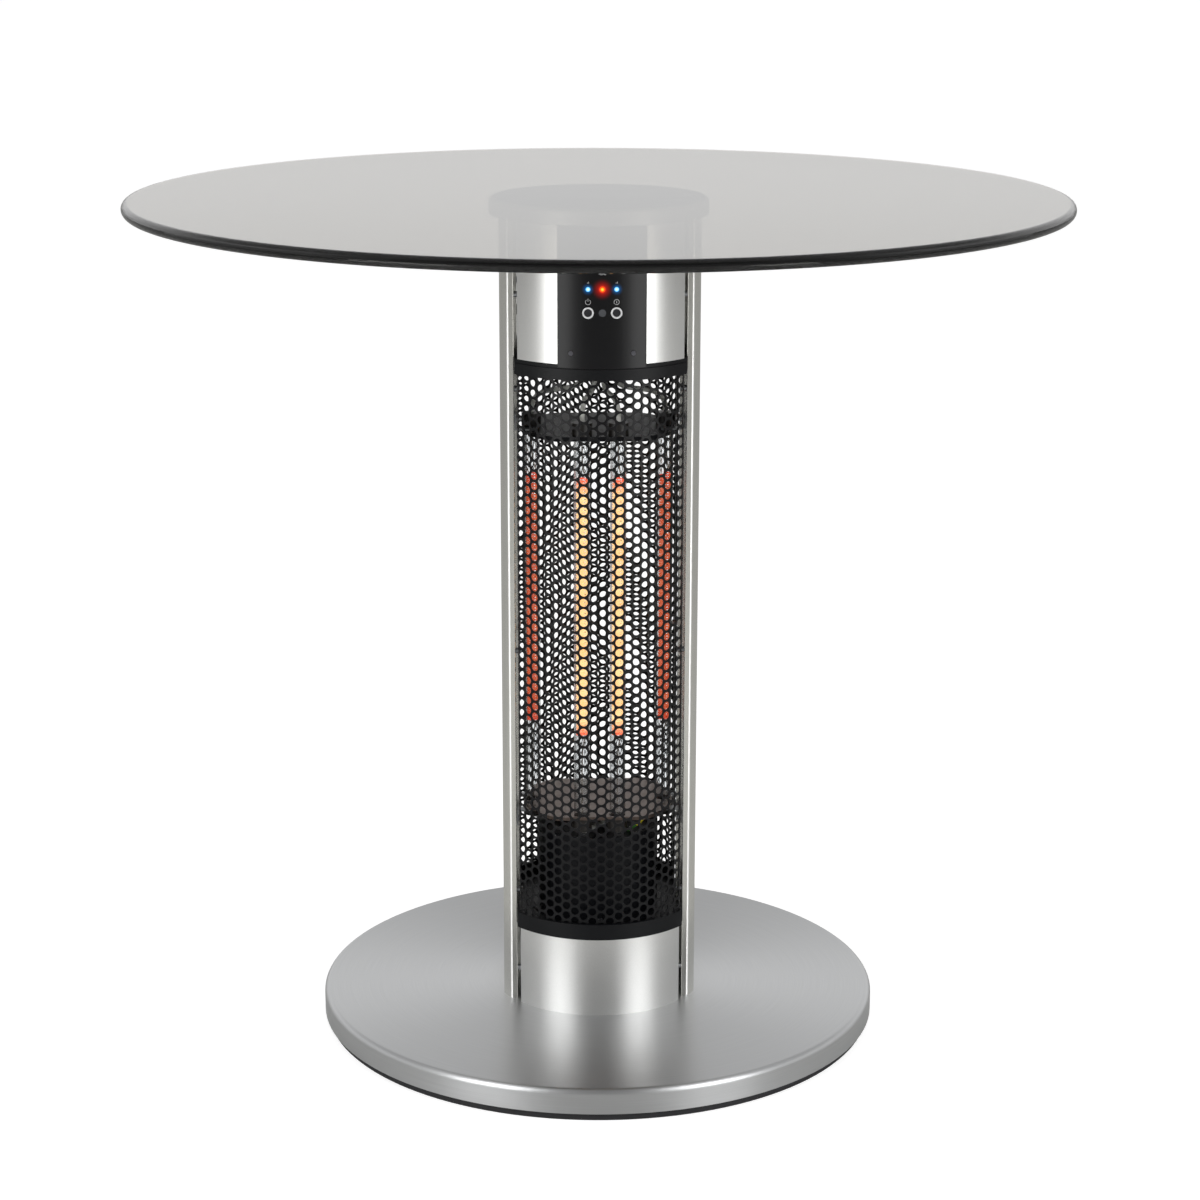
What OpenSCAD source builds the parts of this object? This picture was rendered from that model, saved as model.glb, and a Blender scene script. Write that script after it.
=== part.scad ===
// Round glass bistro table with an electric heater in its column.
// The table stands on a weighted steel base. Two aluminium rails carry the
// top, and everything else hangs between them: a lower shell with the mains
// inlet, the heater chamber behind two perforated guards, and an upper shell
// with the controls. Origin: centre of the base on the floor, front is -Y.

/* [Table top] */
// Height of the glass surface above the floor
table_h = 738; // [720:1:760]
// Diameter of the glass
glass_d = 800; // [600:10:900]
// Thickness of the glass
glass_t = 10; // [8:1:11]
// Diameter of the cap that the glass is bonded to
cap_d = 187; // [186:1:220]
// Height of the cap
cap_h = 12.5; // [12:0.5:16]

/* [Base] */
// Diameter of the stainless cover
base_d = 495; // [420:5:560]
// Height of the cover's top surface
base_top = 29; // [28:1:34]
// Height of the lower edge of the cover's skirt
skirt_z = 7.5; // [6:0.5:9]
// Radius of the cover's rounded edge
base_edge_r = 4.7; // [3:0.1:6]

/* [Column] */
// Outer radius of the round shells
shell_r = 92; // [91:0.5:92.5]
// Half width across the flat sides of the shells
shell_flat = 70; // [69:0.5:70.5]
// Sheet thickness of the shells
shell_t = 1.5; // [1:0.1:2]
// Radius of the rounded edges of the two side rails
rail_r = 93; // [92.5:0.5:93.5]
// Half width across the flat outer faces of the rails
rail_out = 85; // [84.5:0.5:86]
// Half width between the inner faces of the rails
rail_x = 73; // [73:0.5:73.5]
// Half depth of a rail, front to back
rail_half_y = 50; // [49:0.5:51]
// Wall of the rail extrusion
rail_wall = 2; // [1.8:0.1:2.2]
// Top of the lower shell
lower_shell_top = 100; // [98:1:101]
// Height of the lower collar's lip
lower_lip_h = 14; // [10:1:16]
// Height of the upper shell
upper_shell_h = 106; // [105:1:108]

/* [Heater] */
// Outer radius of a quartz tube
tube_r = 7; // [6:0.5:7]
// Wall of a quartz tube
tube_wall = 1.2; // [1:0.1:1.5]
// Lower end of the glowing length
glow_z0 = 273; // [260:1:290]
// Upper end of the glowing length
glow_z1 = 502; // [480:1:510]
// Distance of the side tubes from the axis
side_tube_x = 58; // [56:0.5:58]
// Sideways distance of the front tubes from the axis
front_tube_x = 15.5; // [14:0.5:18]
// Distance of the front tubes in front of the axis
front_tube_y = 46; // [44:0.5:46]
// Top of the lower tube plate
lower_plate_top = 200; // [198:1:204]
// Top of the upper tube plate
upper_plate_top = 540; // [530:1:545]

/* [Controls] */
// Half width of the control panel
panel_half_w = 37; // [34:0.5:38]
// Height of the indicator row
led_z = 671.5; // [668:0.5:675]
// Height of the button row
button_z = 652; // [648:1:655]
// Sideways distance of the outer lamps and of the buttons
button_x = 11.8; // [11:0.1:13]
// Travel of a button
button_travel = 0.6; // [0.4:0.1:0.6]

/* [Hidden] */
$fn = 96;

// Heights, from the top down
glass_z = table_h - glass_t;
bond_t = 1;
cap_top = glass_z - bond_t;
cap_z = cap_top - cap_h;
cap_wall = 2.5;
cap_roof_t = 4;
column_top = cap_z - 0.5;
top_plate_t = 4;
upper_shell_z = column_top - upper_shell_h;
collar_plate_t = 3;
upper_lip_z = upper_shell_z - 13;

// Base
base_r = base_d / 2;
cover_t = 1.2;
ring_h = 13.5;
ring_gap = 2.3;
ring_w = 22;
ring_r = base_r - cover_t - ring_gap;
weight_r = base_r - 7.5;
counterbore_r = 5.5;
counterbore_h = 5;

// Rails and the screw ports inside them
rail_edge_r = 2.4;
rib_half = 7;
rib_clear = 0.3;
port_x = rail_x + 6.5;
port_y = 24;
port_hole_r = 2.5;
port_wall_r = 4.8;
rail_screw_r = 2.45;
side_screw_r = 1.5;
side_hole_r = 1.6;
shell_screw_y = 42;
shell_screw_zs = [55, 660];
grille_screw_y = 44;
grille_screw_zs = [130, 350, 580];
bracket_y = 20;
wire_slot = [9, 24];
wire_slot_zs = [77, 642];

// Collars and guards
lip_r = shell_r + 1.3;
collar_r = shell_r;
collar_half_w = rail_x - 0.3;
guard_r = shell_r - 2;
guard_t = 0.8;
guard_clear = 0.3;
guard_hem_y = 38;
lower_plate_t = 3;
upper_plate_t = 4;
plate_r = 66;
plate_half_y = 54;
tube_hole_r = tube_r + 0.2;
ceramic_r = 8.6;
ceramic_h = 11;
tube_end = 5;
coil_r = 4.6;
coil_inner_r = 3.6;
coil_lead_r = 0.6;
lead_r = 1.1;
can_r = 53.5;
can_t = 1;
can_top = 180;
can_flange_r = 61;
can_hole = [28, 15];
can_hole_r = 9;
collar_hole_r = 14;
pivot_z = 165;
pin_r = 1.5;
bob_r = 10;
housing_screw_r = 57;

// Controls
panel_r = shell_r + 2.4;
panel_t = 2.1;
panel_z = upper_shell_z - 3;
led_front_y = 3.8 - panel_r;
window_half_w = 31;
window_z = upper_shell_z + 15;
board_front_y = -73;
board_t = 1.6;
switch_front_y = board_front_y - 3.4;
bracket_front_y = -52;
bracket_t = 1.5;
power_board_y = -43;
small_screw_r = 1.4;
lens_r = 2;
window_r = 3.1;
bezel_r = 4.75;
bezel_hole_r = 3.4;
button_r = 3.2;
gland_z = 62;
gland_bore_r = 4.2;
gland_thread_r = 7.9;

tubes = [[-front_tube_x, -front_tube_y], [front_tube_x, -front_tube_y],
    [-side_tube_x, 0], [side_tube_x, 0]];

// Depth of the panel's front surface at a sideways distance x
function panel_front(x) = -sqrt(panel_r * panel_r - x * x);

// Points of an arc about c
function arc(c, r, a0, a1, n) =
    [for (i = [0:n]) c + r * [cos(a0 + (a1 - a0) * i / n), sin(a0 + (a1 - a0) * i / n)]];

// Direction of a route at point i
function unit(v) = v / norm(v);
function along(p, i) = unit(p[min(i + 1, len(p) - 1)] - p[max(i - 1, 0)]);

// Flat shapes that the column's sections share
module truncated_disc(r, half_w) {
    intersection() {
        circle(r = r);
        square([2 * half_w, 2 * r + 2], center = true);
    }
}

module truncated_ring(r, half_w, t) {
    difference() {
        truncated_disc(r, half_w);
        truncated_disc(r - t, half_w - t);
    }
}

// A round bar along Y or along X
module bar_y(x, z, y0, y1, r) {
    translate([x, y0, z]) rotate([-90, 0, 0]) cylinder(h = y1 - y0, r = r);
}

module bar_x(x0, x1, y, z, r) {
    translate([x0, y, z]) rotate([0, 90, 0]) cylinder(h = x1 - x0, r = r);
}

// A block between two corners
module block(lo, hi) {
    translate(lo) cube(hi - lo);
}

// A wire of radius r that follows the points p, with n sides
module wire(p, r, n, side) {
    rings = [for (i = [0:len(p) - 1])
        let (t = along(p, i), u = unit(cross(t, side)), v = cross(t, u))
        for (k = [0:n - 1]) p[i] + r * (cos(360 * k / n) * u + sin(360 * k / n) * v)];
    walls = [for (i = [0:len(p) - 2]) for (k = [0:n - 1])
        [i * n + k, i * n + (k + 1) % n, (i + 1) * n + (k + 1) % n, (i + 1) * n + k]];
    start = [for (k = [n - 1:-1:0]) k];
    finish = [for (k = [0:n - 1]) (len(p) - 1) * n + k];
    polyhedron(rings, concat(walls, [start, finish]), convexity = 4);
}

// Base: moulded foot ring, cast weight and drawn stainless cover
module base_ring() {
    color("#1b1b1c") rotate_extrude()
        polygon([[ring_r - ring_w, 0], [ring_r - 1.5, 0], [ring_r, 1.5], [ring_r, ring_h],
            [ring_r - ring_w, ring_h]]);
}

module rail_screw_places() {
    for (sx = [-1, 1]) for (sy = [-1, 1]) translate([sx * port_x, sy * port_y, 0]) children();
}

module base_weight() {
    color("#3a3a3c") difference() {
        translate([0, 0, ring_h]) cylinder(h = base_top - cover_t - ring_h, r = weight_r);
        rail_screw_places() {
            cylinder(h = base_top, r = rail_screw_r + 0.3);
            cylinder(h = ring_h + counterbore_h, r = counterbore_r);
        }
    }
}

module base_cover() {
    bend = base_r - base_edge_r;
    bend_z = base_top - base_edge_r;
    color("#b9babb") difference() {
        rotate_extrude() polygon(concat([[0, base_top]],
            arc([bend, bend_z], base_edge_r, 90, 0, 8),
            [[base_r, skirt_z], [base_r - cover_t, skirt_z]],
            arc([bend, bend_z], base_edge_r - cover_t, 0, 90, 8), [[0, base_top - cover_t]]));
        rail_screw_places() cylinder(h = base_top + 1, r = rail_screw_r + 0.3);
    }
}

// Rails: hollow extrusions with a flat outer face, rounded edges, two screw ports, and
// a rib on the inner face that closes the gap to the shells
module rail_outline() {
    centre = [sqrt(pow(rail_r - rail_edge_r, 2) - pow(rail_half_y - rail_edge_r, 2)),
        rail_half_y - rail_edge_r];
    turn = atan2(centre[1], centre[0]);
    inner_r = 0.6;
    half = concat(arc([rail_x + inner_r, rail_half_y - inner_r], inner_r, 180, 90, 3),
        arc(centre, rail_edge_r, 90, turn, 10), arc([0, 0], rail_r, turn - 2, acos(rail_out / rail_r), 6));
    polygon(concat(half, [for (i = [len(half) - 1:-1:0]) [half[i][0], -half[i][1]]]));
}

module rail_cavity() {
    intersection() {
        circle(r = rail_r - rail_wall);
        translate([rail_x + rail_wall, rail_wall - rail_half_y])
            square([rail_out - rail_x - 2 * rail_wall, 2 * (rail_half_y - rail_wall)]);
    }
}

module rail_section() {
    translate([shell_flat + rib_clear, -rib_half])
        square([rail_x - shell_flat - rib_clear + 0.5, 2 * rib_half]);
    difference() {
        rail_outline();
        difference() {
            rail_cavity();
            for (s = [-1, 1]) translate([port_x, s * port_y]) circle(r = port_wall_r);
        }
        for (s = [-1, 1]) translate([port_x, s * port_y]) circle(r = port_hole_r);
    }
}

// Heights and depths of every screw in a rail's inner face
function side_places() = concat(
    [for (z = shell_screw_zs) for (s = [-1, 1]) [s * shell_screw_y, z]],
    [for (z = grille_screw_zs) for (s = [-1, 1]) [s * grille_screw_y, z]],
    [for (z = bracket_zs) for (s = [-1, 1]) [s * bracket_y, z]]);
bracket_zs = [lower_plate_top - lower_plate_t - 9, upper_plate_top + 9];

module rail(slots) {
    color("#b4b5b2") difference() {
        translate([0, 0, base_top]) linear_extrude(column_top - base_top) rail_section();
        for (q = side_places())
            bar_x(rail_x - 1, rail_x + rail_wall + 0.3, q[0], q[1], side_hole_r);
        for (z = slots)
            block([shell_flat, -wire_slot[0] / 2, z - wire_slot[1] / 2],
                [rail_x + rail_wall + 1, wire_slot[0] / 2, z + wire_slot[1] / 2]);
    }
}

module rail_right() {
    rail([]);
}

module rail_left() {
    mirror([1, 0, 0]) rail(wire_slot_zs);
}

module rail_screws() {
    color("#8d8f92") rail_screw_places() {
        translate([0, 0, ring_h + 1]) cylinder(h = counterbore_h - 1, r = 4.4);
        translate([0, 0, ring_h + 2]) cylinder(h = 44, r = rail_screw_r);
        translate([0, 0, column_top + top_plate_t]) cylinder(h = 3, r = 4.4);
        translate([0, 0, column_top - 20]) cylinder(h = 25, r = rail_screw_r);
    }
}

// Screws from inside the column into the rails, each with a collar that keeps the gap
module side_screw(wall_x, y, z, head_x) {
    bar_x(head_x - 2, head_x, y, z, 2.6);
    bar_x(head_x - 1, rail_x + rail_wall, y, z, side_screw_r);
    bar_x(wall_x, rail_x, y, z, 2.6);
}

module side_screws() {
    color("#9a9b9d") for (m = [0, 1]) mirror([m, 0, 0]) {
        for (s = [-1, 1]) {
            side_screw(shell_flat, s * shell_screw_y, shell_screw_zs[0], shell_flat - shell_t);
            for (z = grille_screw_zs)
                side_screw(shell_flat + guard_t, s * grille_screw_y, z, shell_flat);
            for (z = bracket_zs)
                side_screw(rail_x - 0.4, s * bracket_y, z, rail_x - 1.6);
        }
        side_screw(shell_flat, -shell_screw_y, shell_screw_zs[1], shell_flat - shell_t - bracket_t);
        side_screw(shell_flat, shell_screw_y, shell_screw_zs[1], shell_flat - shell_t);
    }
}

// Lower shell with the cable gland at its back
module shell_screw_holes(z) {
    for (s = [-1, 1]) bar_x(-rail_x, rail_x, s * shell_screw_y, z, side_hole_r);
}

module lower_shell() {
    color("#c3c4c4") difference() {
        translate([0, 0, base_top]) linear_extrude(lower_shell_top - base_top)
            truncated_ring(shell_r, shell_flat, shell_t);
        shell_screw_holes(shell_screw_zs[0]);
        bar_y(0, gland_z, shell_r - 20, shell_r + 5, gland_thread_r + 0.1);
        block([-shell_flat - 1, -wire_slot[0] / 2, wire_slot_zs[0] - wire_slot[1] / 2],
            [-shell_flat + 4, wire_slot[0] / 2, wire_slot_zs[0] + wire_slot[1] / 2]);
    }
}

module gland_body() {
    color("#232325") difference() {
        union() {
            bar_y(0, gland_z, shell_r - 11, shell_r + 3, gland_thread_r);
            bar_y(0, gland_z, shell_r + 3, shell_r + 9, gland_thread_r - 1);
            translate([0, shell_r, gland_z]) rotate([-90, 0, 0]) cylinder(h = 4, r = 11, $fn = 6);
        }
        bar_y(0, gland_z, shell_r - 12, shell_r + 10, gland_bore_r);
    }
}

module gland_dome_nut() {
    color("#232325") difference() {
        union() {
            translate([0, shell_r + 4.2, gland_z]) rotate([-90, 0, 0])
                cylinder(h = 8, r = 10.5, $fn = 6);
            translate([0, shell_r + 12, gland_z]) rotate([-90, 0, 0])
                cylinder(h = 6, r1 = 9, r2 = 6.5);
        }
        bar_y(0, gland_z, shell_r, shell_r + 9.2, gland_thread_r - 0.9);
        bar_y(0, gland_z, shell_r + 9, shell_r + 25, gland_bore_r);
    }
}

module gland_lock_nut() {
    color("#232325") difference() {
        translate([0, shell_r - 7, gland_z]) rotate([-90, 0, 0]) cylinder(h = 4.4, r = 11, $fn = 6);
        bar_y(0, gland_z, shell_r - 8, shell_r - 1, gland_thread_r + 0.05);
    }
}

module terminal_block() {
    color("#d8d5cc") difference() {
        block([-22, 22, base_top], [22, 40, base_top + 14]);
        for (i = [-1:1]) for (y = [26.5, 35.5])
            translate([i * 13, y, base_top + 6]) cylinder(h = 10, r = 2.6);
    }
}

// Collars: moulded plates that close the heater chamber, with a lip over the guards
module lips(z0, z1, r) {
    translate([0, 0, z0]) linear_extrude(z1 - z0) difference() {
        truncated_disc(r, collar_half_w);
        circle(r = guard_r + guard_clear);
    }
}

// Notches in a collar's sides that clear the ribs of the rails
module rib_notches(z0, z1) {
    for (m = [0, 1]) mirror([m, 0, 0])
        block([shell_flat, -rib_half - rib_clear, z0], [rail_x, rib_half + rib_clear, z1]);
}

module lower_collar() {
    color("#20222a") difference() {
        union() {
            translate([0, 0, lower_shell_top]) linear_extrude(collar_plate_t)
                truncated_disc(lip_r, collar_half_w);
            lips(lower_shell_top, lower_shell_top + lower_lip_h, lip_r);
        }
        translate([can_hole[0], can_hole[1], lower_shell_top - 1]) cylinder(h = 5, r = can_hole_r);
        housing_screw_places() translate([0, 0, lower_shell_top - 1]) cylinder(h = 5, r = side_hole_r);
        rib_notches(lower_shell_top - 1, lower_shell_top + collar_plate_t + 1);
    }
}

module upper_collar() {
    color("#17171a") difference() {
        union() {
            translate([0, 0, upper_shell_z - collar_plate_t]) linear_extrude(collar_plate_t)
                truncated_disc(collar_r, collar_half_w);
            lips(upper_lip_z, panel_z - 0.5, lip_r);
            lips(upper_lip_z, upper_shell_z, collar_r);
        }
        translate([0, 0, upper_shell_z - 4]) cylinder(h = 5, r = collar_hole_r);
        cutout_screw_places() translate([0, 0, upper_shell_z - 4]) cylinder(h = 5, r = side_hole_r);
        rib_notches(upper_shell_z - collar_plate_t - 1, upper_shell_z + 1);
    }
}

// Housing above the lower collar, with the tip-over switch inside
module housing_screw_places() {
    for (a = [30, 150, 270]) rotate([0, 0, a]) translate([housing_screw_r, 0, 0]) children();
}

module switch_housing() {
    z0 = lower_shell_top + collar_plate_t;
    color("#141416") difference() {
        union() {
            translate([0, 0, z0]) cylinder(h = can_top - z0, r = can_r);
            translate([0, 0, z0]) cylinder(h = can_t, r = can_flange_r);
        }
        translate([0, 0, z0 - 1]) cylinder(h = can_top - z0 + 1 - can_t, r = can_r - can_t);
        translate([can_hole[0], can_hole[1], can_top - 2]) cylinder(h = 4, r = can_hole_r);
        housing_screw_places() translate([0, 0, z0 - 1]) cylinder(h = 4, r = side_hole_r);
    }
}

module tilt_bracket() {
    z0 = lower_shell_top + collar_plate_t;
    color("#a9abad") difference() {
        union() {
            block([-16, -10, z0], [16, 10, z0 + 1.5]);
            for (s = [-1, 1]) block([s * 12.75 - 0.75, -6, z0], [s * 12.75 + 0.75, 6, pivot_z + 7.4]);
        }
        bar_x(-20, 20, 0, pivot_z, pin_r);
    }
}

module tilt_pivot_pin() {
    color("#c9cacc") {
        bar_x(-14.5, 14.5, 0, pivot_z, pin_r);
        bar_x(14.3, 15.5, 0, pivot_z, 2.4);
    }
}

module tilt_pendulum() {
    color("#7c7e82") difference() {
        union() {
            bar_x(-3, 3, 0, pivot_z, 4);
            translate([0, 0, pivot_z + 2]) cylinder(h = 3.8, r = 1.2);
            translate([0, 0, pivot_z - 35]) cylinder(h = 33, r = 1.6);
            translate([0, 0, pivot_z - 53]) cylinder(h = 20, r = bob_r);
        }
        bar_x(-5, 5, 0, pivot_z, pin_r + 0.06);
    }
}

module tilt_microswitch() {
    color("#26262a") {
        block([-13.5, -3.2, pivot_z + 7.4], [13.5, 3.2, pivot_z + 13.4]);
        translate([0, 0, pivot_z + 6.6]) cylinder(h = 1, r = 1);
    }
}

// Plates that hold the quartz tubes, cut flat front and back
module tube_plate(top, t, tint) {
    color(tint) difference() {
        translate([0, 0, top - t]) linear_extrude(t) intersection() {
            circle(r = plate_r);
            square([2 * plate_r + 2, 2 * plate_half_y], center = true);
        }
        for (p = tubes) translate([p[0], p[1], top - t - 1]) cylinder(h = t + 2, r = tube_hole_r);
        bracket_tab_places() translate([0, 0, top - t - 1]) cylinder(h = t + 2, r = side_hole_r);
    }
}

module bracket_tab_places() {
    for (sx = [-1, 1]) for (sy = [-1, 1]) translate([sx * 57, sy * bracket_y, 0]) children();
}

module lower_tube_plate() {
    tube_plate(lower_plate_top, lower_plate_t, "#c8c8ca");
}

module upper_tube_plate() {
    tube_plate(upper_plate_top, upper_plate_t, "#1c1c1e");
}

// One angle bracket per corner of each plate: a tab on the plate, a leg on the rail
module plate_bracket(face_z, up) {
    leg_x = rail_x - 0.4;
    tab = up > 0 ? [face_z, face_z + 1.2] : [face_z - 1.2, face_z];
    leg = up > 0 ? [face_z, face_z + 14] : [face_z - 14, face_z];
    difference() {
        union() {
            block([53, -5, tab[0]], [leg_x, 5, tab[1]]);
            block([leg_x - 1.2, -5, leg[0]], [leg_x, 5, leg[1]]);
        }
        translate([57, 0, face_z - 3]) cylinder(h = 6, r = side_hole_r);
        bar_x(leg_x - 3, leg_x + 1, 0, face_z + up * 9, side_hole_r);
    }
}

module plate_brackets() {
    color("#9fa1a3") for (m = [0, 1]) mirror([m, 0, 0]) for (s = [-1, 1])
        translate([0, s * bracket_y, 0]) {
            plate_bracket(lower_plate_top - lower_plate_t, -1);
            plate_bracket(upper_plate_top, 1);
        }
}

// Quartz tubes, heating coils, ceramic end caps and their leads
module quartz_tube(i) {
    color("#e6e8ea", 0.4) translate([tubes[i][0], tubes[i][1], tube_z0]) difference() {
        cylinder(h = tube_z1 - tube_z0, r = tube_r);
        translate([0, 0, -1]) cylinder(h = tube_z1 - tube_z0 + 2, r = tube_r - tube_wall);
    }
}
tube_z0 = lower_plate_top - lower_plate_t - tube_end;
tube_z1 = upper_plate_top + tube_end;

module coil(i) {
    color("#ff9a3c") translate([tubes[i][0], tubes[i][1], 0]) {
        difference() {
            translate([0, 0, glow_z0]) cylinder(h = glow_z1 - glow_z0, r = coil_r);
            translate([0, 0, glow_z0 + 2])
                cylinder(h = glow_z1 - glow_z0 - 4, r = coil_inner_r);
        }
        translate([0, 0, tube_z0 + 1]) cylinder(h = glow_z0 - tube_z0, r = coil_lead_r);
        translate([0, 0, glow_z1 - 1]) cylinder(h = tube_z1 - glow_z1, r = coil_lead_r);
    }
}

module tube_front_left() {
    quartz_tube(0);
}

module tube_front_right() {
    quartz_tube(1);
}

module tube_left() {
    quartz_tube(2);
}

module tube_right() {
    quartz_tube(3);
}

module coil_front_left() {
    coil(0);
}

module coil_front_right() {
    coil(1);
}

module coil_left() {
    coil(2);
}

module coil_right() {
    coil(3);
}

module ceramic_caps() {
    z0 = lower_plate_top - lower_plate_t - ceramic_h;
    color("#2c2926") for (p = tubes) translate([p[0], p[1], 0]) {
        difference() {
            translate([0, 0, z0]) cylinder(h = ceramic_h, r = ceramic_r);
            translate([0, 0, tube_z0]) cylinder(h = 20, r = tube_r + 0.05);
        }
        difference() {
            translate([0, 0, upper_plate_top]) cylinder(h = ceramic_h, r = ceramic_r);
            translate([0, 0, upper_plate_top - 1]) cylinder(h = tube_end + 1, r = tube_r + 0.05);
        }
    }
}

// Where lead i drops through the housing's top, spread about the hole
lead_angles = [215, 265, 165, 330];
function lead_end(i) = can_hole + 5 * [cos(lead_angles[i]), sin(lead_angles[i])];
function between(p, e, k, z) = [p[0] + k * (e[0] - p[0]), p[1] + k * (e[1] - p[1]), z];

module tube_leads() {
    low = lower_plate_top - lower_plate_t - ceramic_h;
    high = upper_plate_top + ceramic_h;
    color("#cfcfca") for (i = [0:3]) {
        p = tubes[i];
        e = lead_end(i);
        run = low - 3.6;
        wire([[p[0], p[1], high + 0.1], [p[0], p[1], high + 8], [0.75 * p[0], 0.75 * p[1], high + 22],
            [0.3 * p[0], 0.3 * p[1], high + 36], [0.15 * p[0], 0.15 * p[1], high + 50],
            [0.15 * p[0], 0.15 * p[1], upper_shell_z + 14]], lead_r, 8, [p[1], -p[0], 0]);
        wire([between(p, e, 0, low - 0.1), between(p, e, 0, low - 1.4), between(p, e, 0.08, run),
            between(p, e, 0.5, run), between(p, e, 0.94, run), between(p, e, 1, run - 1.4),
            between(p, e, 1, can_top - 14)], lead_r, 8, [p[1] - e[1], e[0] - p[0], 0]);
    }
}

module earth_wire() {
    under = lower_plate_top - lower_plate_t;
    color("#b9b23a") wire([[26, -33, can_top + 0.1], [26.2, -33.3, 181.6], [29, -36, 184],
        [33, -38, 187.5], [37, -38.5, 191.5], [40, -37.8, 194.5], [40.4, -37.6, under - 0.1]],
        lead_r + 0.2, 8, [0.6, 1, 0]);
}

// Flexible lead from the mains inlet, up inside the left rail, to the power board
module supply_lead() {
    board_face = power_board_y + board_t;
    color("#2a2a2d") wire([[-22.1, 31, 36], [-32, 31, 36], [-44, 27, 42], [-53, 15, 52],
        [-59, 5, 62], [-64, 1, 70], [-70, 0, 76], [-76, 0, 82], [-79.5, 0, 91], [-79.5, 0, 200],
        [-79.5, 0, 400], [-79.5, 0, 625], [-76, 0, 634], [-70, 0, 641], [-64, -1, 648],
        [-56, -6, 658], [-48, -16, 668], [-45, -26, 672], [-45, board_face + 0.1, 672]],
        3, 10, [0.3, 1, 0.2]);
}

// Perforated guards: bent sheets with a hem that screws to the rails
module guard() {
    z0 = lower_shell_top + collar_plate_t;
    edge_y = sqrt(guard_r * guard_r - pow(shell_flat + guard_t, 2));
    color("#1a1a1b") difference() {
        translate([0, 0, z0]) linear_extrude(upper_shell_z - collar_plate_t - z0) {
            intersection() {
                difference() {
                    circle(r = guard_r);
                    circle(r = guard_r - guard_t);
                }
                translate([-shell_flat - guard_t, -guard_r - 1])
                    square([2 * (shell_flat + guard_t), guard_r - edge_y + 2]);
            }
            for (s = [-1, 1]) translate([s * (shell_flat + guard_t / 2), -(edge_y + guard_hem_y) / 2])
                square([guard_t, edge_y - guard_hem_y + 1], center = true);
        }
        for (z = grille_screw_zs)
            bar_x(-rail_x, rail_x, -grille_screw_y, z, side_hole_r);
    }
}

module grille_front() {
    guard();
}

module grille_back() {
    mirror([0, 1, 0]) guard();
}

// Upper shell, control panel and what is behind it
module cutout_screw_places() {
    for (s = [-1, 1]) translate([36 + s * 13, 26, 0]) children();
}

module thermal_cutout() {
    color("#cfc8b4") {
        difference() {
            translate([20, 22, upper_shell_z]) cube([32, 8, 1]);
            cutout_screw_places() translate([0, 0, upper_shell_z - 1]) cylinder(h = 3, r = side_hole_r);
        }
        translate([36, 26, upper_shell_z]) cylinder(h = 11, r = 8);
    }
}

module upper_shell() {
    slot_z = wire_slot_zs[1];
    color("#c3c4c4") difference() {
        translate([0, 0, upper_shell_z]) linear_extrude(upper_shell_h)
            truncated_ring(shell_r, shell_flat, shell_t);
        block([-window_half_w, -shell_r - 1, window_z], [window_half_w, -shell_r + 10, column_top - 4]);
        panel_screw_places() bar_y(0, 0, -panel_r, -shell_r + 20, small_screw_r + 0.05);
        shell_screw_holes(shell_screw_zs[1]);
        block([-shell_flat - 1, -wire_slot[0] / 2, slot_z - wire_slot[1] / 2],
            [-shell_flat + 4, wire_slot[0] / 2, slot_z + wire_slot[1] / 2]);
    }
}

module panel_screw_places() {
    for (s = [-1, 1]) translate([s * 26, 0, upper_shell_z + 10]) children();
}

module panel_hole(x, z, r) {
    bar_y(x, z, -panel_r - 1, 20 - panel_r, r);
}

module control_panel() {
    color("#18181a") difference() {
        union() {
            translate([0, 0, panel_z]) linear_extrude(column_top - panel_z) intersection() {
                difference() {
                    circle(r = panel_r);
                    circle(r = panel_r - panel_t);
                }
                translate([-panel_half_w, -panel_r - 1]) square([2 * panel_half_w, panel_r]);
            }
            difference() {
                intersection() {
                    block([-30, -panel_r, window_z + 1], [30, 15.4 - panel_r, column_top - 5]);
                    cylinder(h = 2 * table_h, r = panel_r - 1);
                }
                block([-28, -panel_r, window_z + 3], [28, 20 - panel_r, column_top - 7]);
            }
        }
        for (s = [-1:1]) panel_hole(s * button_x, led_z, lens_r);
        panel_hole(0, button_z, window_r);
        for (s = [-1, 1]) panel_hole(s * button_x, button_z, bezel_r);
        panel_screw_places() {
            panel_hole(0, 0, small_screw_r + 0.05);
            bar_y(0, 0, -panel_r - 1, panel_front(26) + 0.3, 2);
        }
    }
}

module panel_screws() {
    y = panel_front(26);
    color("#6c6c70") panel_screw_places() {
        translate([0, y - 0.7, 0]) rotate([-90, 0, 0]) cylinder(h = 1, r = 1.9);
        translate([0, y, 0]) rotate([-90, 0, 0]) cylinder(h = 8, r = small_screw_r);
    }
}

module lens(x, tint) {
    color(tint) bar_y(x, led_z, panel_front(x) - 0.5, panel_front(x) + panel_t, lens_r);
}

module led_left_lens() {
    lens(-button_x, "#38a8e8");
}

module led_heat_lens() {
    lens(0, "#ff3a18");
}

module led_right_lens() {
    lens(button_x, "#38a8e8");
}

module indicator_leds() {
    color("#dfe3e6") for (s = [-1:1]) {
        bar_y(s * button_x, led_z, led_front_y, led_front_y + 7.6, 2.4);
        bar_y(s * button_x, led_z, led_front_y + 6.1, led_front_y + 7.6, 2.9);
        for (k = [-1, 1])
            bar_y(s * button_x + k * 1.27, led_z, led_front_y + 7, board_front_y, 0.3);
    }
}

module ir_window() {
    color("#4a4c50") bar_y(0, button_z, panel_front(0) - 0.2, panel_front(0) + panel_t, window_r);
}

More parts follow.
